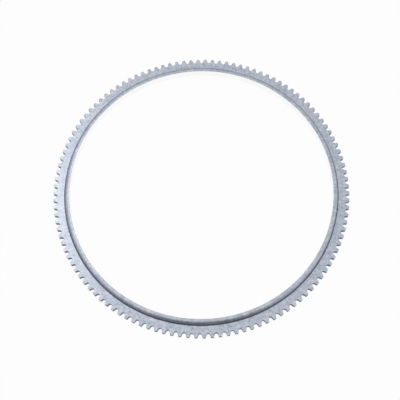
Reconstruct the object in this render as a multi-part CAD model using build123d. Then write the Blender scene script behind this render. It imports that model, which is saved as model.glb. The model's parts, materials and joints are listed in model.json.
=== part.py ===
from build123d import *
import os
from math import pi, radians, tan

# Tone ring of an anti-lock brake: one ring of steel, turned to its section, with its teeth cut
# round the edge. It lies flat on its flange, with the collar pointing up. A sensor reads the teeth,
# and the bore presses onto the wheel hub, which enters from below.
# Millimetres, +Z up, origin at the centre of the underside.

# Bore: the press seat for the hub, and the chamfer below that leads the hub in
bore_diameter = 204.0
lead_in = 0.8

# Collar: the raised inner part of the ring. Its outer wall leans inward from its foot and turns,
# by as round a shoulder as there is room for, into the narrow flat rim. The rim's inner edge is
# broken.
collar_width = 4.45
collar_height = 3.95
wall_lean = 14.0
rim_land = 0.8
rim_break = 0.3

# Flange: its thickness, and the flat land from the collar's foot to the floors of the gaps
flange_thickness = 4.15
flange_land = 5.48

# Teeth: how many there are and how far they stand out, the broken corners of their tips,
# and the gap between two of them: a round floor, whose radius is a share of the distance from
# tooth to tooth so that the sensor sees even teeth and gaps, and flanks that open outward
tooth_count = 120
tooth_depth = 3.07
tip_break = 0.3
gap_floor_share = 0.231
gap_flank_lean = 24.0

# The blank is this much too large where the teeth are cut from it
allowance = 1.0

bore_radius = bore_diameter / 2
foot_radius = bore_radius + collar_width
root_radius = foot_radius + flange_land
outer_radius = root_radius + tooth_depth
ring_height = flange_thickness + collar_height
half_pitch = 180 / tooth_count
gap_floor_radius = gap_floor_share * 2 * pi * outer_radius / tooth_count


def blank():
    """The ring before its teeth are cut: the half section in the XZ plane turned round the axis."""
    rim_corner = foot_radius - collar_height * tan(radians(wall_lean))
    shoulder = rim_corner - bore_radius - rim_land
    shoulder_radius = shoulder / tan(radians(90 - wall_lean) / 2)
    blank_radius = outer_radius + allowance
    # Each corner, how it is worked and how far
    section = [
        ((bore_radius, ring_height), chamfer, rim_break),
        ((rim_corner, ring_height), fillet, shoulder_radius),
        ((foot_radius, flange_thickness), None, 0),
        ((blank_radius, flange_thickness), None, 0),
        ((blank_radius, 0), None, 0),
        ((bore_radius, 0), chamfer, lead_in),
    ]
    outline = make_face(Polyline([point for point, _, _ in section], close=True))
    for point, work, size in section:
        if work:
            corner = outline.vertices().sort_by_distance(point)[0]
            outline = work(corner, size)
    return revolve(Plane.XZ * outline, Axis.Z)


def one_pitch():
    """The toothed edge from the middle of one tip to the next, with the gap between on +X."""
    centre = (root_radius + gap_floor_radius, 0)
    floor = CenterArc(centre, gap_floor_radius, 90 + gap_flank_lean, 180 - 2 * gap_flank_lean)
    flank_foot = floor @ 0
    along_flank = Vector(1, 0).rotate(Axis.Z, gap_flank_lean)
    outward = Vector(1, 0).rotate(Axis.Z, half_pitch)
    flank_length = (outer_radius - flank_foot.dot(outward)) / along_flank.dot(outward)
    corner = flank_foot + along_flank * flank_length
    tip_middle = outward * outer_radius
    along_tip = (tip_middle - corner).normalized()
    broken_corner = [corner - along_flank * tip_break, corner + along_tip * tip_break]
    half_tooth = Polyline(flank_foot, *broken_corner, tip_middle)
    return [floor, half_tooth, mirror(half_tooth, Plane.XZ)]


def toothed_prism():
    """What the cutter leaves: the toothed outline, carried past the blank above and below."""
    places = PolarLocations(0, tooth_count, start_angle=half_pitch)
    edges = one_pitch()
    outline = make_face([place * edge for place in places for edge in edges])
    return Pos(0, 0, -allowance) * extrude(outline, ring_height + 2 * allowance)


# One tooth is centred on +X
ring = blank() & toothed_prism()
ring.label = "tone_ring"

os.makedirs("parts", exist_ok=True)
export_step(ring, "parts/tone_ring.step")
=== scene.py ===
"""A tone ring of zinc-plated steel, lying flat on a pale studio floor.

The ring is one closed surface: a collar turned round the axis and a toothed band that follows the
cut edge. Both are worked out from a few sizes. The frame gives the ring's outer diameter, height
and bore.
"""
import json
import math

import bpy
import numpy as np
from mathutils import Matrix, Vector


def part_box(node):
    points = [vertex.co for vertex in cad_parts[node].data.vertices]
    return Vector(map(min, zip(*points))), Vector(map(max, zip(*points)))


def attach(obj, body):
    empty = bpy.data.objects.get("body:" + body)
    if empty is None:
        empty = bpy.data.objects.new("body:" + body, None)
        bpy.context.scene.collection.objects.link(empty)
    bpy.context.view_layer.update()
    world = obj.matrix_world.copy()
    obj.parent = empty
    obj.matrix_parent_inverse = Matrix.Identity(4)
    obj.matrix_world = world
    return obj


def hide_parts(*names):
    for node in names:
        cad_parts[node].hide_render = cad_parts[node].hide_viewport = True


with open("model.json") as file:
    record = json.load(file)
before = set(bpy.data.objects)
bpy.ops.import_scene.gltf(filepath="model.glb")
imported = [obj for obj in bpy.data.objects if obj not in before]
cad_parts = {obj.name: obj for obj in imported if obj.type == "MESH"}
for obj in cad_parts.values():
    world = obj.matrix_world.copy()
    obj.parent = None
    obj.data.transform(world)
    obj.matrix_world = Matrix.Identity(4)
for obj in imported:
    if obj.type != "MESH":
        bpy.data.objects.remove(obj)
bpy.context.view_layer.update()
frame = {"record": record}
RING_LOW, RING_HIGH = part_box("tone_ring")
HUB_BORE = next(mount for mount in frame["record"]["mounts"] if mount["name"] == "hub_bore")

bl_info = {
    "name": "Tone Ring",
    "version": (1, 0, 0),
    "blender": (4, 5, 0),
    "location": "View3D > Sidebar > Tone Ring",
    "description": "Makes a plated steel tone ring and a pale studio to show it in",
    "category": "Object",
}

MM = 0.001
RING_NODE = "tone_ring"
WHITE = (1.0, 1.0, 1.0, 1.0)

# Sockets of the colour Mix node, by index, because its names repeat
MIX_FACTOR, MIX_A, MIX_B, MIX_RESULT = 0, 6, 7, 2

# Steps along each part of half a pitch: the gap's floor, its flank, the tip's corner and the tip
FLOOR_STEPS, FLANK_STEPS, CORNER_STEPS, TIP_STEPS = 6, 3, 4, 2

# Steps round the edge of a tooth and down its wall, steps round a corner of the collar's section,
# and the collar's columns beside each tooth
EDGE_STEPS, WALL_STEPS, SECTION_STEPS, COLLAR_COLUMNS = 3, 3, 8, 6

# How far a guard point lies from an arc's end, how far inside the gaps' floors the toothed band
# ends, and the width of the strip that joins it to the collar
GUARD, BAND_MARGIN, JOIN_WIDTH = 0.08 * MM, 0.6 * MM, 0.3 * MM


class RingSizes(bpy.types.PropertyGroup):
    """The sizes of the ring."""

    tooth_count: bpy.props.IntProperty(
        name="Teeth", description="How many teeth stand round the flange", default=120, min=12)
    outer_diameter: bpy.props.FloatProperty(
        name="Outer diameter", description="Across the tooth tips",
        default=RING_HIGH[0] - RING_LOW[0], unit="LENGTH", precision=5)
    ring_height: bpy.props.FloatProperty(
        name="Height", description="From the flange's underside to the collar's rim",
        default=RING_HIGH[2] - RING_LOW[2], unit="LENGTH", precision=5)
    bore_diameter: bpy.props.FloatProperty(
        name="Bore", description="Across the straight bore",
        default=2 * HUB_BORE["dims"]["r_mm"] * MM, unit="LENGTH", precision=5)
    flange_thickness: bpy.props.FloatProperty(
        name="Flange thickness", description="Thickness of the flange that carries the teeth",
        default=4.15 * MM, unit="LENGTH", precision=5)
    collar_width: bpy.props.FloatProperty(
        name="Collar width", description="From the bore to the foot of the collar's outer wall",
        default=4.45 * MM, unit="LENGTH", precision=5)
    wall_lean: bpy.props.FloatProperty(
        name="Wall lean", description="How far the collar's outer wall leans inward",
        default=math.radians(14.0), unit="ROTATION")
    rim_land: bpy.props.FloatProperty(
        name="Rim land", description="From the bore to the start of the collar's round shoulder",
        default=0.8 * MM, unit="LENGTH", precision=5)
    rim_rounding: bpy.props.FloatProperty(
        name="Rim rounding", description="Radius of the rim's inner edge",
        default=0.4 * MM, unit="LENGTH", precision=5)
    foot_radius: bpy.props.FloatProperty(
        name="Foot radius", description="Radius of the corner where the collar rises from the flange",
        default=0.3 * MM, unit="LENGTH", precision=5)
    lead_in: bpy.props.FloatProperty(
        name="Lead-in", description="Size of the chamfer at the lower end of the bore",
        default=0.8 * MM, unit="LENGTH", precision=5)
    tooth_depth: bpy.props.FloatProperty(
        name="Tooth depth", description="From the tooth tips to the gap floors",
        default=3.07 * MM, unit="LENGTH", precision=5)
    gap_floor_radius: bpy.props.FloatProperty(
        name="Gap floor radius", description="Radius of the round floor of each gap",
        default=1.39 * MM, unit="LENGTH", precision=5)
    gap_flank_lean: bpy.props.FloatProperty(
        name="Gap flank lean", description="How far each flank of a gap leans outward",
        default=math.radians(18.0), unit="ROTATION")
    tip_rounding: bpy.props.FloatProperty(
        name="Tip rounding", description="Radius of the tooth tips' corners, seen from above",
        default=0.33 * MM, unit="LENGTH", precision=5)
    edge_rounding: bpy.props.FloatProperty(
        name="Edge rounding", description="Radius of the teeth's upper edges",
        default=0.25 * MM, unit="LENGTH", precision=5)
    edge_break: bpy.props.FloatProperty(
        name="Edge break", description="Radius of the teeth's lower edges and of the lead-in's two edges",
        default=0.12 * MM, unit="LENGTH", precision=5)


class RingFinish(bpy.types.PropertyGroup):
    """The colours, the sheen and the grain of the plating and of the bore, with painted shade and
    highlights.
    """

    zinc_colour: bpy.props.FloatVectorProperty(
        name="Zinc", description="Colour of the plating", subtype="COLOR", size=3,
        default=(0.52, 0.575, 0.68), min=0, max=1)
    bloom_colour: bpy.props.FloatVectorProperty(
        name="Bloom", description="Colour of the paler patches in the plating", subtype="COLOR", size=3,
        default=(0.64, 0.66, 0.72), min=0, max=1)
    # Partly the darker cut steel, partly painted shade on the teeth's walls
    cut_and_shade_colour: bpy.props.FloatVectorProperty(
        name="Cut steel", description="Colour of the cut faces of the teeth, which took less plating",
        subtype="COLOR", size=3, default=(0.13, 0.135, 0.15), min=0, max=1)
    bore_colour: bpy.props.FloatVectorProperty(
        name="Bore", description="Colour of the bore, turned bright after the plating",
        subtype="COLOR", size=3, default=(0.97, 0.97, 0.975), min=0, max=1)
    # Painted shade: this dark colour stands for the shade that falls in the corner at the collar's foot
    recess_shade_colour: bpy.props.FloatVectorProperty(
        name="Recess", description="Colour of the thin dull plating down at the collar's foot",
        subtype="COLOR", size=3, default=(0.06, 0.065, 0.08), min=0, max=1)
    # Partly real wear, partly a painted highlight on the teeth's rounded edges
    worn_and_highlight_colour: bpy.props.FloatVectorProperty(
        name="Worn edge", description="Colour of edges that handling has polished",
        subtype="COLOR", size=3, default=(0.78, 0.79, 0.80), min=0, max=1)
    glancing_tint: bpy.props.FloatVectorProperty(
        name="Glancing tint", description="Tint of what the plating mirrors at a glancing angle",
        subtype="COLOR", size=3, default=(0.6, 0.61, 0.64), min=0, max=1)
    roughness: bpy.props.FloatProperty(
        name="Roughness", description="Roughness of the plating", default=0.32, min=0, max=1,
        subtype="FACTOR")
    cut_roughness: bpy.props.FloatProperty(
        name="Cut roughness", description="How much rougher the cut faces are than the plating",
        default=0.16, min=0, max=1, subtype="FACTOR")
    recess_roughness: bpy.props.FloatProperty(
        name="Recess roughness", description="How much rougher the collar's foot is than the plating",
        default=0.06, min=0, max=1, subtype="FACTOR")
    worn_polish: bpy.props.FloatProperty(
        name="Worn polish", description="How much less rough the polished edges are than the plating",
        default=0.1, min=0, max=1, subtype="FACTOR")
    bore_polish: bpy.props.FloatProperty(
        name="Bore polish", description="How much less rough the bore is than the plating",
        default=0.12, min=0, max=1, subtype="FACTOR")
    grain_depth: bpy.props.FloatProperty(
        name="Grain depth", description="Depth of the grain and of the cutter's streaks",
        default=0.06 * MM, unit="LENGTH", precision=5)
    grain_strength: bpy.props.FloatProperty(
        name="Grain strength", description="How strongly the grain and the streaks bend the light",
        default=0.35, min=0, max=1, subtype="FACTOR")
    bloom_share: bpy.props.FloatProperty(
        name="Bloom share", description="How much of the bloom's colour the paler patches take",
        default=0.55, min=0, max=1, subtype="FACTOR")
    cut_share: bpy.props.FloatProperty(
        name="Cut share", description="How much of the cut steel's colour the cut faces take",
        default=0.75, min=0, max=1, subtype="FACTOR")
    # How much painted shade the collar's foot takes
    recess_shade_share: bpy.props.FloatProperty(
        name="Recess share", description="How much of the recess's colour the collar's foot takes",
        default=0.7, min=0, max=1, subtype="FACTOR")
    worn_and_highlight_share: bpy.props.FloatProperty(
        name="Worn share", description="How much of the worn colour the polished edges take",
        default=0.8, min=0, max=1, subtype="FACTOR")
    speckle_contrast: bpy.props.FloatProperty(
        name="Speckle", description="How much the fine speckle lightens and darkens the plating",
        default=1.2, min=0)
    mottle_contrast: bpy.props.FloatProperty(
        name="Mottle", description="How much the mottle lightens and darkens the plating",
        default=0.9, min=0)
    turning_contrast: bpy.props.FloatProperty(
        name="Turning", description="How much the rings from the turning lighten and darken the plating",
        default=0.3, min=0)


class StudioSettings(bpy.types.PropertyGroup):
    """The camera, the floor, the soft light and the sky."""

    sensor_width: bpy.props.FloatProperty(
        name="Sensor", description="Width of the camera's sensor in millimetres", default=36.0, min=1)
    lens: bpy.props.FloatProperty(
        name="Lens", description="Focal length in millimetres", default=65.37, min=1)
    distance: bpy.props.FloatProperty(
        name="Distance", description="From the camera to the ring's middle, along the view",
        default=0.56505, unit="LENGTH")
    tilt: bpy.props.FloatProperty(
        name="Tilt", description="How far the view leans from straight down",
        default=math.radians(19.81), unit="ROTATION")
    roll: bpy.props.FloatProperty(
        name="Roll", description="Turn of the camera about its own view",
        default=math.radians(3.11), unit="ROTATION")
    turn: bpy.props.FloatProperty(
        name="Turn", description="Turn of the camera about the ring's axis",
        default=math.radians(-1.228), unit="ROTATION")
    aside: bpy.props.FloatProperty(
        name="Aside", description="How far right of the view's middle the ring's middle lies",
        default=0.00075, unit="LENGTH", precision=5)
    above: bpy.props.FloatProperty(
        name="Above", description="How far above the view's middle the ring's middle lies",
        default=0.00844, unit="LENGTH", precision=5)
    floor_size: bpy.props.FloatProperty(
        name="Floor", description="Side of the square floor", default=20.0, unit="LENGTH")
    floor_drop: bpy.props.FloatProperty(
        name="Floor drop", description="How far the floor lies below the ring, so that they stay apart",
        default=0.3 * MM, unit="LENGTH", precision=5)
    floor_colour: bpy.props.FloatVectorProperty(
        name="Floor colour", description="Colour of the floor where light falls on it",
        subtype="COLOR", size=3, default=(0.85, 0.85, 0.86), min=0, max=1)
    floor_white: bpy.props.FloatProperty(
        name="Floor white", description="How much of the floor the camera and the metal see as white",
        default=0.95, min=0, max=1, subtype="FACTOR")
    key_place: bpy.props.FloatVectorProperty(
        name="Key light place", description="Where the soft light hangs", subtype="TRANSLATION",
        size=3, default=(-0.36, 0.39, 1.06))
    key_size: bpy.props.FloatProperty(
        name="Key light size", description="Side of the square soft light", default=0.3, unit="LENGTH")
    key_power: bpy.props.FloatProperty(
        name="Key light", description="Power of the soft light high at the left, in watts",
        default=0.42, min=0)
    sky_level: bpy.props.FloatProperty(
        name="Sky", description="Brightness of the studio's walls and ceiling", default=0.9, min=0)
    front_shade: bpy.props.FloatProperty(
        name="Front shade", description="How much darker the sky is where the photographer stands",
        default=0.66, min=0, max=1, subtype="FACTOR")
    back_shade: bpy.props.FloatProperty(
        name="Back shade", description="How much darker the sky is behind the ring",
        default=0.12, min=0, max=1, subtype="FACTOR")
    right_shade: bpy.props.FloatProperty(
        name="Right shade", description="How much darker the sky is at the right",
        default=0.1, min=0, max=1, subtype="FACTOR")
    low_shade: bpy.props.FloatProperty(
        name="Low shade", description="How much darker the sky is low down",
        default=0.2, min=0, max=1, subtype="FACTOR")
    low_right_light: bpy.props.FloatProperty(
        name="Low right light", description="How much brighter the sky is low at the right",
        default=0.5, min=0, max=1, subtype="FACTOR")


class Signal:
    """A number on a shader socket. Arithmetic on it adds Math nodes to the same tree."""

    def __init__(self, sheet, socket):
        self.sheet = sheet
        self.socket = socket

    def maths(self, operation, *values, clamp=False):
        """One Math node on values, each of them a number or a signal."""
        settings = {"operation": operation, "use_clamp": clamp}
        return self.sheet.signal(self.sheet.add("ShaderNodeMath", settings, dict(enumerate(values))))

    def __add__(self, other):
        return self.maths("ADD", self, other)

    __radd__ = __add__

    def __mul__(self, other):
        return self.maths("MULTIPLY", self, other)

    __rmul__ = __mul__

    def __sub__(self, other):
        return self.maths("SUBTRACT", self, other)

    def __rsub__(self, other):
        return self.maths("SUBTRACT", other, self)

    def __truediv__(self, other):
        return self.maths("DIVIDE", self, other)

    def __pow__(self, other):
        return self.maths("POWER", self, other)

    def clamped(self):
        """The same number, held between 0 and 1."""
        return self.maths("ADD", self, 0.0, clamp=True)

    def between(self, low, high):
        """0 below low, 1 above high and a smooth step between them."""
        settings = {"interpolation_type": "SMOOTHSTEP"}
        sockets = {"Value": self, "From Min": low, "From Max": high}
        return self.sheet.signal(self.sheet.add("ShaderNodeMapRange", settings, sockets))


class ShaderSheet:
    """Adds nodes to one material's or world's tree."""

    def __init__(self, tree):
        self.tree = tree
        tree.nodes.clear()

    def add(self, node_type, settings=None, sockets=None):
        """A node with its settings, then its sockets, each given a value or linked to a signal."""
        node = self.tree.nodes.new(node_type)
        for name, value in (settings or {}).items():
            setattr(node, name, value)
        for key, value in (sockets or {}).items():
            source = value.socket if isinstance(value, Signal) else value
            if isinstance(source, bpy.types.NodeSocket):
                self.tree.links.new(source, node.inputs[key])
            else:
                node.inputs[key].default_value = source
        return node

    def signal(self, node, output=0):
        """One output of a node, as a number that Python can calculate with."""
        return Signal(self, node.outputs[output])

    def split(self, vector):
        """The three numbers of a vector."""
        node = self.add("ShaderNodeSeparateXYZ", {}, {0: vector})
        return [self.signal(node, axis) for axis in "XYZ"]

    def combined(self, node_type, *numbers):
        """Three numbers as one vector or one colour."""
        return self.add(node_type, {}, dict(enumerate(numbers))).outputs[0]

    def colour_mix(self, factor, first, second, blend="MIX"):
        """Two colours mixed by a factor."""
        settings = {"data_type": "RGBA", "blend_type": blend, "clamp_factor": True}
        sockets = {MIX_FACTOR: factor, MIX_A: opaque(first), MIX_B: opaque(second)}
        return self.add("ShaderNodeMix", settings, sockets).outputs[MIX_RESULT]

    def noise(self, vector, scale, detail, roughness):
        """Soft noise about 0, with scale features to each unit of the vector."""
        sockets = {"Vector": vector, "Scale": scale, "Detail": detail, "Roughness": roughness}
        return self.signal(self.add("ShaderNodeTexNoise", {}, sockets)) - 0.5

    def attribute(self, name):
        """A number that the mesh carries at each of its points."""
        node = self.add("ShaderNodeAttribute", {"attribute_name": name, "attribute_type": "GEOMETRY"})
        return self.signal(node, "Fac")

    def surface(self, share, first, second):
        """Ends a material with the first shader, or the second by its share."""
        sockets = {0: share, 1: first.outputs[0], 2: second.outputs[0]}
        both = self.add("ShaderNodeMixShader", {}, sockets)
        self.add("ShaderNodeOutputMaterial", {}, {"Surface": both.outputs[0]})


def opaque(colour):
    """A colour of three numbers with a full alpha added, or a socket as it is."""
    return colour if isinstance(colour, bpy.types.NodeSocket) else (*colour, 1.0)


def turned(start, end, steps):
    """Unit complex numbers from one angle to another: e to the power of i times the angle."""
    return np.exp(1j * np.linspace(start, end, steps + 1))


def rounded_path(corners, radii):
    """An open path in the plane with an arc at each inner corner, as complex numbers.

    An arc of radius q at a corner that turns by t touches the way in at q tan(t/2) before the
    corner. Its centre lies q square to the way in, on the side that the path turns to. Its points
    are the centre less that square arm, turned by 0 to t. A guard point lies just outside each end
    of each arc, so that the shading stays flat between arcs.
    """
    corners, radii = np.asarray(corners), np.asarray(radii)
    ways = np.diff(corners)
    ways = ways / np.abs(ways)
    way_in, way_out = ways[:-1], ways[1:]
    turn = np.angle(way_out / way_in)
    start = corners[1:-1] - way_in * radii * np.tan(np.abs(turn) / 2)
    arm = 1j * np.sign(turn) * way_in * radii
    spread = np.exp(1j * turn[:, None] * np.linspace(0, 1, SECTION_STEPS + 1))
    arcs = (start + arm)[:, None] - arm[:, None] * spread
    before = arcs[:, :1] - GUARD * way_in[:, None]
    after = arcs[:, -1:] + GUARD * way_out[:, None]
    inner = np.concatenate([before, arcs, after], axis=1).ravel()
    return np.concatenate([corners[:1], inner, corners[-1:]])


def gap_half(sizes):
    """Half a pitch of the toothed edge and the directions out of the metal, as complex numbers.

    It runs from the middle of the gap's floor, on the real axis, to the middle of the next tooth's
    tip. The floor is an arc, the flank a straight line that touches it, the tip lies on the outer
    circle. The rounding between flank and tip has its centre where a line beside the flank meets a
    circle inside the outer one, both at the rounding's radius from their edge.
    """
    outer = sizes.outer_diameter / 2
    centre = outer - sizes.tooth_depth + sizes.gap_floor_radius
    lean, rounding = sizes.gap_flank_lean, sizes.tip_rounding
    floor_turn = turned(math.pi, math.pi / 2 + lean, FLOOR_STEPS)
    floor = centre + sizes.gap_floor_radius * floor_turn
    outward = np.exp(1j * lean)
    beside = floor[-1] + 1j * outward * rounding
    along = (beside * outward.conjugate()).real
    run = math.sqrt(along**2 - abs(beside) ** 2 + (outer - rounding) ** 2) - along
    round_centre = beside + run * outward
    round_turn = turned(lean - math.pi / 2, np.angle(round_centre), CORNER_STEPS)
    rounded = round_centre + rounding * round_turn
    flank_share = np.linspace(0, 1, FLANK_STEPS + 1)[1:-1]
    flank = floor[-1] + (rounded[0] - floor[-1]) * flank_share
    tip_turn = turned(np.angle(round_centre), math.pi / sizes.tooth_count, TIP_STEPS)[1:]
    points = np.concatenate([floor, flank, rounded, outer * tip_turn])
    normals = np.concatenate([-floor_turn, np.full(flank.shape, -1j * outward), round_turn, tip_turn])
    return points, normals


def toothed_edge(sizes):
    """The whole toothed outline and its outward directions, from the middle of the tooth on +X.

    A whole pitch is the half pitch's mirror image, backwards, and then the half pitch. Each pitch is
    the first one turned by its number and a half pitches.
    """
    points, normals = gap_half(sizes)
    pitch = 2 * math.pi / sizes.tooth_count
    turns = np.exp(1j * pitch * (np.arange(sizes.tooth_count) + 0.5))[:, None]
    whole = [np.concatenate([half[:0:-1].conjugate(), half[:-1]]) for half in (points, normals)]
    return [(turns * part).ravel() for part in whole]


def toothed_band(sizes, end_radius):
    """Rings of points that follow the toothed edge from the flange's top to its underside.

    Each ring is the outline moved into the metal by an offset, at a height. Over the rounded upper
    edge the offset is the edge's radius times 1 - sin a and the drop is that radius times 1 - cos a.
    The lower edge is the same with its own radius, upside down. The first and the last ring are
    circles of the end radius, with their points on the same rays as the outline's. Beside the rings
    and their heights it gives how cut each ring is, which also places painted shade on the walls, and
    how worn, which also places a painted highlight on the rounded edges.
    """
    outline, outward = toothed_edge(sizes)
    top, rounded, broken = sizes.flange_thickness, sizes.edge_rounding, sizes.edge_break
    quarter = np.linspace(0, math.pi / 2, EDGE_STEPS + 1)
    wall = np.linspace(top - rounded, broken, WALL_STEPS + 1)[1:-1]
    none, full = np.zeros(wall.size), np.ones(wall.size)
    offsets = np.concatenate([
        [rounded + GUARD], rounded * (1 - np.sin(quarter)), none,
        broken * (1 - np.cos(quarter)), [broken + GUARD]])
    drops = np.concatenate([
        [0], rounded * (1 - np.cos(quarter)), top - wall, top - broken * (1 - np.sin(quarter)), [top]])
    rings = outline[None, :] - offsets[:, None] * outward[None, :]
    circles = [end_radius * rings[row] / np.abs(rings[row]) for row in (0, -1)]
    rings = np.concatenate([circles[:1], rings, circles[1:]])
    heights = top - np.pad(drops, 1, mode="edge")
    cut = np.concatenate([[0], np.sin(quarter), full, np.cos(quarter), [0]])
    wear = np.concatenate([[0], np.sin(2 * quarter), none, np.sin(2 * quarter), [0]])
    return rings, heights, np.pad(cut, 1), np.pad(wear, 1)


def collar_path(sizes, end_radius):
    """The collar's section from the flange's underside up the bore and over to the flange's top.

    The corners are the section's own, in the half plane of radius and height, and each is rounded.
    The shoulder's arc touches the rim at the land and the wall below, so its radius is what the rim
    has beside the land, divided by the tangent of half the shoulder's turn.
    """
    bore = sizes.bore_diameter / 2
    foot = bore + sizes.collar_width
    rim = foot - (sizes.ring_height - sizes.flange_thickness) * math.tan(sizes.wall_lean)
    shoulder = (rim - bore - sizes.rim_land) / math.tan((math.pi / 2 - sizes.wall_lean) / 2)
    corners = [
        end_radius,
        bore + sizes.lead_in,
        bore + 1j * sizes.lead_in,
        bore + 1j * sizes.ring_height,
        rim + 1j * sizes.ring_height,
        foot + 1j * sizes.flange_thickness,
        end_radius + 1j * sizes.flange_thickness,
    ]
    radii = [sizes.edge_break, sizes.edge_break, sizes.rim_rounding, shoulder, sizes.foot_radius]
    return rounded_path(corners, radii)


def bore_share(path, sizes):
    """1 on the bore and its lead-in. It falls to 0 low on the rim's rounding and at the underside."""
    fade = 0.25 * sizes.rim_rounding
    lead_low, lead_high = 0.2 * sizes.edge_break, sizes.lead_in + sizes.edge_break
    beside = (path.real - sizes.bore_diameter / 2) / fade
    in_lead = (path.imag > lead_low) & (path.imag < lead_high)
    return np.maximum(np.clip(1 - beside, 0, 1), in_lead)


def band_faces(first, rows, columns):
    """Four-cornered faces between neighbouring rings of a band that closes on itself."""
    here = np.arange(columns)
    after = (here + 1) % columns
    step = first + columns * np.arange(rows - 1)[:, None]
    corners = [here + step, here + step + columns, after + step + columns, after + step]
    return np.stack(corners, axis=-1).reshape(-1, 4)


def join_faces(outer_first, outer_angles, inner_first, inner_angles):
    """Triangles between two circles in one plane whose points differ in number.

    Going round, each triangle takes the next point of whichever circle comes first by its angle. So
    a triangle's corners are the last point passed on each circle and the next point of one of them.
    """
    angles = np.concatenate([outer_angles, inner_angles])
    on_outer = np.concatenate([np.ones(outer_angles.size, bool), np.zeros(inner_angles.size, bool)])
    order = np.argsort(angles, kind="stable")
    on_outer = on_outer[order]
    outer_at = (np.cumsum(on_outer) - on_outer - 1) % outer_angles.size
    inner_at = (np.cumsum(~on_outer) - ~on_outer - 1) % inner_angles.size
    next_point = np.where(
        on_outer, outer_first + (outer_at + 1) % outer_angles.size,
        inner_first + (inner_at + 1) % inner_angles.size)
    return np.stack([inner_first + inner_at, outer_first + outer_at, next_point], axis=-1)


def ring_surface(sizes):
    """The whole ring's points, its faces, and how cut, how worn and how bright it is at each point.

    The collar is its section turned round the axis, and the toothed band stands outside it. A strip
    of triangles above and one below join the two. How cut and how worn a point is also places the
    painted shade and the painted highlights.
    """
    columns = COLLAR_COLUMNS * sizes.tooth_count
    band_radius = sizes.outer_diameter / 2 - sizes.tooth_depth - BAND_MARGIN
    path = collar_path(sizes, band_radius - JOIN_WIDTH)
    round_turn = turned(0, 2 * math.pi, columns)[:-1]
    collar = path.real[:, None] * round_turn[None, :]
    teeth, heights, cut, wear = toothed_band(sizes, band_radius)

    def at_points(collar_rings, teeth_rings):
        """One number for each ring of points, given to every point of that ring."""
        return np.concatenate([np.repeat(collar_rings, columns), np.repeat(teeth_rings, teeth.shape[1])])

    flat = np.concatenate([collar.ravel(), teeth.ravel()])
    points = np.stack([flat.real, flat.imag, at_points(path.imag, heights)], axis=-1)
    collar_last = columns * (path.size - 1)
    teeth_last = collar.size + teeth.shape[1] * (heights.size - 1)
    tooth_angles, collar_angles = (np.angle(row) % (2 * math.pi) for row in (teeth[0], round_turn))
    faces = [
        *band_faces(0, path.size, columns).tolist(),
        *band_faces(collar.size, heights.size, teeth.shape[1]).tolist(),
        *join_faces(collar.size, tooth_angles, collar_last, collar_angles).tolist(),
        *join_faces(teeth_last, tooth_angles, 0, collar_angles)[:, ::-1].tolist(),
    ]
    numbers = {
        "cut_face": at_points(np.zeros(path.size), cut),
        "edge_wear_and_highlight": at_points(np.zeros(path.size), wear),
        "bore_face": at_points(bore_share(path, sizes), np.zeros(heights.size)),
    }
    return points, faces, numbers


def mesh_object(name, points, faces, numbers):
    """A mesh object at the origin, shaded smooth, with numbers at its points."""
    mesh = bpy.data.meshes.new(name)
    mesh.from_pydata(points, [], faces)
    for label, values in numbers.items():
        attribute = mesh.attributes.new(label, "FLOAT", "POINT")
        attribute.data.foreach_set("value", values.astype(np.float32))
    mesh.shade_smooth()
    mesh.validate()
    piece = bpy.data.objects.new(name, mesh)
    bpy.context.scene.collection.objects.link(piece)
    return piece


def new_material(name):
    """A material and the empty sheet that its nodes go on."""
    material = bpy.data.materials.new(name)
    material.use_nodes = True
    return material, ShaderSheet(material.node_tree)


def polished_and_highlit_edges(edge_wear_and_highlight, radius, mottle, sizes):
    """How polished the teeth's edges are, with a painted highlight: in spots, and only towards the tips.
    """
    tip, depth = sizes.outer_diameter / 2 / MM, sizes.tooth_depth / MM
    near_tip = radius.between(tip - 0.7 * depth, tip - 0.2 * depth)
    spots = mottle.between(-0.2, 0.0)
    return (edge_wear_and_highlight * spots * near_tip).clamped()


def painted_foot_shade(radius, height, sizes):
    """Where shade is painted dark, most of all low on the collar's outer wall and hardly on the flange."""
    foot = (sizes.bore_diameter / 2 + sizes.collar_width) / MM
    above_flange = height - sizes.flange_thickness / MM
    from_foot = ((radius - foot) ** 2.0 + above_flange ** 2.0) ** 0.5
    near_foot = 1 - from_foot.between(2.2, 5.0)
    on_wall = above_flange.between(-0.05, 0.35)
    return near_foot * on_wall


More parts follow.
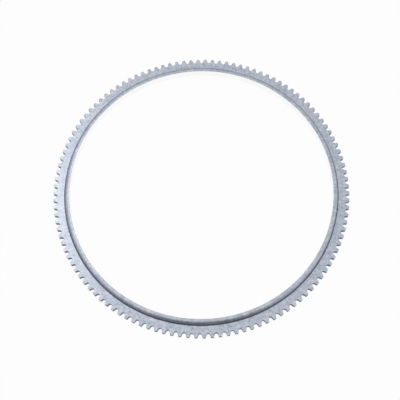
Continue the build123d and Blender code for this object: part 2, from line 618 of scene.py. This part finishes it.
def zinc_plate(finish, sizes):
    """Zinc plating on turned steel.

    Paler bloom lies over the blue-grey zinc in patches, with a mottle and a fine speckle. Faint rings
    from the turning run round the axis. The flanks and tips of the teeth are darker and rougher, with
    streaks along the cutter's travel; their dark colour is partly cut steel and partly painted shade.
    Shade is painted dark down at the collar's foot, where the surface is also rougher. Edges that hands
    touch are polished and carry a painted highlight, and the bore is bright. Places in it are measured
    in millimetres.
    """
    material, sheet = new_material("zinc_plate")
    place = sheet.add("ShaderNodeTexCoord").outputs["Object"]
    to_millimetres = {0: place, "Scale": 1 / MM}
    millimetres = sheet.add("ShaderNodeVectorMath", {"operation": "SCALE"}, to_millimetres).outputs[0]
    x, y, z = sheet.split(millimetres)
    radius = (x * x + y * y) ** 0.5

    # Noise on the first of these changes slowly round the axis, on the second slowly down the teeth
    round_axis = sheet.combined("ShaderNodeCombineXYZ", x / radius * 5.0, y / radius * 5.0, radius * 1.3)
    along_cut = sheet.combined("ShaderNodeCombineXYZ", x, y, z * 0.12)
    bloom = sheet.noise(millimetres, scale=0.11, detail=3.0, roughness=0.6)
    mottle = sheet.noise(millimetres, scale=0.45, detail=3.0, roughness=0.6)
    speckle = sheet.noise(millimetres, scale=1.6, detail=3.0, roughness=0.65)
    turning = sheet.noise(round_axis, scale=1.0, detail=4.0, roughness=0.65)
    streaks = sheet.noise(along_cut, scale=5.0, detail=2.0, roughness=0.6)
    cut, bore = sheet.attribute("cut_face"), sheet.attribute("bore_face")
    # Partly real wear, partly a painted highlight on the teeth's edges towards the tips
    worn = polished_and_highlit_edges(sheet.attribute("edge_wear_and_highlight"), radius, mottle, sizes)
    # Painted shade: where the collar's foot is darkened as if shaded
    recess = painted_foot_shade(radius, z, sizes)

    # The mottle makes the bloom uneven, and the streaks do the same to the cut faces
    patches = bloom.between(-0.12, 0.16)
    paler = patches * finish.bloom_share + mottle * 1.2
    plain = sheet.colour_mix(paler, finish.zinc_colour, finish.bloom_colour)
    # The cut faces take a dark colour: partly cut steel, partly painted shade on the teeth's walls
    cut_and_shaded = sheet.colour_mix(cut * (finish.cut_share + 0.4 * streaks), plain, finish.cut_and_shade_colour)
    # Painted shade: the collar's foot takes the dark shade colour
    foot_shaded = sheet.colour_mix(recess * finish.recess_shade_share, cut_and_shaded, finish.recess_shade_colour)
    # The polished edges take a pale colour: partly real wear, partly a painted highlight
    worn_and_highlighted = sheet.colour_mix(worn * finish.worn_and_highlight_share, foot_shaded, finish.worn_and_highlight_colour)
    grain = speckle * finish.speckle_contrast
    shade = 1 + grain + mottle * finish.mottle_contrast + turning * finish.turning_contrast
    shade_colour = sheet.combined("ShaderNodeCombineColor", shade, shade, shade)
    colour = sheet.colour_mix(1.0, worn_and_highlighted, shade_colour, "MULTIPLY")

    wandering = mottle * 0.14 + turning * 0.12
    rougher = cut * finish.cut_roughness + recess * finish.recess_roughness - worn * finish.worn_polish
    roughness = finish.roughness + wandering + rougher

    # The streaks are the deepest relief
    relief = speckle * 0.5 + turning * 0.6 + cut * streaks * 2.0
    bump = sheet.add("ShaderNodeBump", {}, {
        "Strength": finish.grain_strength, "Distance": finish.grain_depth, "Height": relief})
    plate = sheet.add("ShaderNodeBsdfPrincipled", {}, {
        "Base Color": colour, "Metallic": 1.0, "Roughness": roughness, "Normal": bump.outputs[0],
        "Specular Tint": opaque(finish.glancing_tint)})
    bright = sheet.add("ShaderNodeBsdfPrincipled", {}, {
        "Base Color": opaque(finish.bore_colour), "Metallic": 1.0,
        "Roughness": finish.roughness - finish.bore_polish + wandering, "Normal": bump.outputs[0]})
    sheet.surface(bore, plate, bright)
    return material


def seen_directly(sheet):
    """1 for rays that reach the camera straight or by a mirror or glass, 0 for the others."""
    path = sheet.add("ShaderNodeLightPath")
    rays = [sheet.signal(path, name) for name in ("Is Camera Ray", "Is Glossy Ray", "Is Transmission Ray")]
    return (rays[0] + rays[1] + rays[2]).clamped()


def floor_material(studio):
    """A pale matt floor that the camera and the metal see as white, with some of its shading kept."""
    material, sheet = new_material("pale_floor")
    matt = sheet.add("ShaderNodeBsdfDiffuse", {}, {"Color": opaque(studio.floor_colour)})
    white = sheet.add("ShaderNodeEmission", {}, {"Color": WHITE, "Strength": 1.0})
    sheet.surface(seen_directly(sheet) * studio.floor_white, matt, white)
    return material


def floor_corners(studio):
    """The corners of the square floor, just below the ring."""
    half = studio.floor_size / 2
    return [(x * half, y * half, -studio.floor_drop) for x, y in ((-1, -1), (1, -1), (1, 1), (-1, 1))]


def studio_sky(studio):
    """Pale walls and ceiling, darker where the photographer stands, low down and behind.

    They are also a little darker at the right, except low down, where they are brighter there.
    """
    world = bpy.data.worlds.new("studio")
    world.use_nodes = True
    bpy.context.scene.world = world
    sheet = ShaderSheet(world.node_tree)
    direction = sheet.add("ShaderNodeTexCoord").outputs["Generated"]
    photographer = Vector((-0.14, -0.94, 0.3)).normalized()
    dot = sheet.add("ShaderNodeVectorMath", {"operation": "DOT_PRODUCT"}, {0: direction, 1: photographer})
    towards = sheet.signal(dot, "Value")
    across, back, height = sheet.split(direction)
    low = 1 - height.between(0.2, 0.7)
    front_level = 1 - studio.front_shade * towards.between(0.62, 1.0)
    back_level = 1 - studio.back_shade * back.between(0.1, 0.4)
    right_level = 1 - studio.right_shade * across.between(-0.05, 0.25)
    low_level = 1 - low * studio.low_shade + low * across.between(0.2, 0.8) * studio.low_right_light
    level = studio.sky_level * front_level * back_level * right_level * low_level
    background = sheet.add("ShaderNodeBackground", {}, {"Color": WHITE, "Strength": level})
    sheet.add("ShaderNodeOutputWorld", {}, {"Surface": background.outputs[0]})


def key_light(studio):
    """A square soft light that faces the origin."""
    lamp = bpy.data.lights.new("key", "AREA")
    lamp.shape = "SQUARE"
    lamp.size = studio.key_size
    lamp.energy = studio.key_power
    light = bpy.data.objects.new("key", lamp)
    light.location = studio.key_place
    light.rotation_euler = (-Vector(studio.key_place)).to_track_quat("-Z", "Y").to_euler()
    bpy.context.scene.collection.objects.link(light)


def photograph_camera(studio, sizes):
    """A camera that looks down at the ring, leant back by its tilt and turned by its roll."""
    tilt, roll = studio.tilt, studio.roll
    right = Vector((math.cos(roll), -math.sin(roll) * math.cos(tilt), -math.sin(roll) * math.sin(tilt)))
    forward = Vector((0.0, math.sin(tilt), -math.cos(tilt)))
    up = right.cross(forward)
    middle = Vector((0.0, 0.0, sizes.flange_thickness))
    place = middle - right * studio.aside - up * studio.above - forward * studio.distance
    stand = Matrix((right, up, -forward)).transposed().to_4x4()
    stand.translation = place
    camera = bpy.data.objects.new("camera", bpy.data.cameras.new("camera"))
    camera.matrix_world = Matrix.Rotation(studio.turn, 4, "Z") @ stand
    camera.data.sensor_width = studio.sensor_width
    camera.data.lens = studio.lens
    bpy.context.scene.collection.objects.link(camera)
    bpy.context.scene.camera = camera


class TONERING_OT_make_ring(bpy.types.Operator):
    """Make the tone ring with its teeth, its collar and its plating"""

    bl_idname = "tone_ring.make_ring"
    bl_label = "Make the tone ring"

    def execute(self, context):
        sizes, finish = context.scene.ring_sizes, context.scene.ring_finish
        points, faces, numbers = ring_surface(sizes)
        ring = mesh_object("tone_ring_plated", points, faces, numbers)
        ring.data.materials.append(zinc_plate(finish, sizes))
        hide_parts(RING_NODE)
        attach(ring, "root")
        return {"FINISHED"}


class TONERING_OT_make_studio(bpy.types.Operator):
    """Make the camera, the sky, the floor and the soft light"""

    bl_idname = "tone_ring.make_studio"
    bl_label = "Make the studio"

    def execute(self, context):
        scene, studio, sizes = context.scene, context.scene.studio, context.scene.ring_sizes
        scene.view_settings.view_transform = "Standard"
        photograph_camera(studio, sizes)
        studio_sky(studio)
        floor = mesh_object("floor", floor_corners(studio), [(0, 1, 2, 3)], {})
        floor.data.materials.append(floor_material(studio))
        key_light(studio)
        return {"FINISHED"}


class VIEW3D_PT_tone_ring(bpy.types.Panel):
    """Sizes, finish and studio of the tone ring, with the buttons that make them"""

    bl_label = "Tone Ring"
    bl_space_type = "VIEW_3D"
    bl_region_type = "UI"
    bl_category = "Tone Ring"

    def draw(self, context):
        for group in (context.scene.ring_sizes, context.scene.ring_finish, context.scene.studio):
            box = self.layout.box()
            for name in group.bl_rna.properties.keys():
                if name not in ("rna_type", "name"):
                    box.prop(group, name)
        for operator in (TONERING_OT_make_ring, TONERING_OT_make_studio):
            self.layout.operator(operator.bl_idname)


CLASSES = (
    RingSizes, RingFinish, StudioSettings, TONERING_OT_make_ring, TONERING_OT_make_studio,
    VIEW3D_PT_tone_ring)


def register():
    """Registers the classes and hangs the settings on the scene."""
    for one in CLASSES:
        bpy.utils.register_class(one)
    bpy.types.Scene.ring_sizes = bpy.props.PointerProperty(type=RingSizes)
    bpy.types.Scene.ring_finish = bpy.props.PointerProperty(type=RingFinish)
    bpy.types.Scene.studio = bpy.props.PointerProperty(type=StudioSettings)


def unregister():
    """Takes the settings off the scene and unregisters the classes."""
    del bpy.types.Scene.studio
    del bpy.types.Scene.ring_finish
    del bpy.types.Scene.ring_sizes
    for one in reversed(CLASSES):
        bpy.utils.unregister_class(one)


def main():
    register()
    bpy.ops.tone_ring.make_studio()
    bpy.ops.tone_ring.make_ring()


if __name__ == "__main__":
    main()
